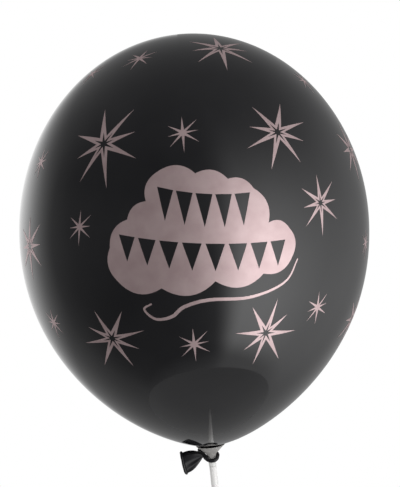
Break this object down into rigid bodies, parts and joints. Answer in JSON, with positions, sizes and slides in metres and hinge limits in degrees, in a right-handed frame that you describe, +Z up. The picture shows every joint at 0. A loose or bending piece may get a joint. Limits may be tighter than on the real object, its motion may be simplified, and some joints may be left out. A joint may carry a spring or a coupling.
{
  "type": "latex balloon on a stick",
  "caption": "Printed air-filled latex balloon, held by its neck in a plastic cup on a hollow balloon stick.",
  "frame": {"origin": "centre of the stick's lower end, where a hand or a holder takes it", "axes": "+Z up along the stick, the printed front faces -Y, and the neck's tail points to -X"},
  "size_m": [0.2792, 0.2812, 0.6698],
  "materials": {
    "stick_plastic": "gloss",
    "cup_plastic": "gloss",
    "latex": "gloss",
    "ink": "satin"
  },
  "bodies": {
    "stick": {"stick_tube": "stick_plastic"},
    "cup": {"balloon_cup": "cup_plastic", "neck_wrap": "latex"},
    "tail": {"tail": "latex", "lip_bead": "latex"},
    "neck": {"neck": "latex"},
    "balloon": {"envelope": "latex", "front_plaque": "ink", "front_streamer": "ink", "front_large_star_1": "ink", "front_large_star_2": "ink", "front_large_star_3": "ink", "front_large_star_4": "ink", "front_large_star_5": "ink", "front_large_star_6": "ink", "front_large_star_7": "ink", "front_large_star_8": "ink", "front_large_star_9": "ink", "front_small_star_1": "ink", "front_small_star_2": "ink", "front_small_star_3": "ink", "front_small_star_4": "ink", "front_small_star_5": "ink", "front_small_star_6": "ink", "front_small_star_7": "ink", "front_small_star_8": "ink", "front_small_star_9": "ink", "front_small_star_10": "ink", "back_plaque": "ink", "back_streamer": "ink", "back_large_star_1": "ink", "back_large_star_2": "ink", "back_large_star_3": "ink", "back_large_star_4": "ink", "back_large_star_5": "ink", "back_large_star_6": "ink", "back_large_star_7": "ink", "back_large_star_8": "ink", "back_large_star_9": "ink", "back_small_star_1": "ink", "back_small_star_2": "ink", "back_small_star_3": "ink", "back_small_star_4": "ink", "back_small_star_5": "ink", "back_small_star_6": "ink", "back_small_star_7": "ink", "back_small_star_8": "ink", "back_small_star_9": "ink", "back_small_star_10": "ink"}
  },
  "joints": [
    {"name": "cup_turn", "type": "hinge", "parent": "stick", "child": "cup", "pos_m": [0, 0, 0.32], "axis": [0, 0, 1], "continuous": true},
    {"name": "sway_side", "type": "hinge", "parent": "cup", "child": "neck", "pos_m": [0, 0, 0.3357], "axis": [0, 1, 0], "range_deg": [-3, 3], "stiffness_Nm_per_rad": 0.03},
    {"name": "sway_front", "type": "hinge", "parent": "neck", "child": "balloon", "pos_m": [0, 0, 0.3357], "axis": [1, 0, 0], "range_deg": [-3, 3], "stiffness_Nm_per_rad": 0.03},
    {"name": "tail_flap", "type": "hinge", "parent": "cup", "child": "tail", "pos_m": [-0.0078, -0.0009, 0.3297], "axis": [0, 1, 0], "range_deg": [-35, 5], "stiffness_Nm_per_rad": 0.001}
  ]
}
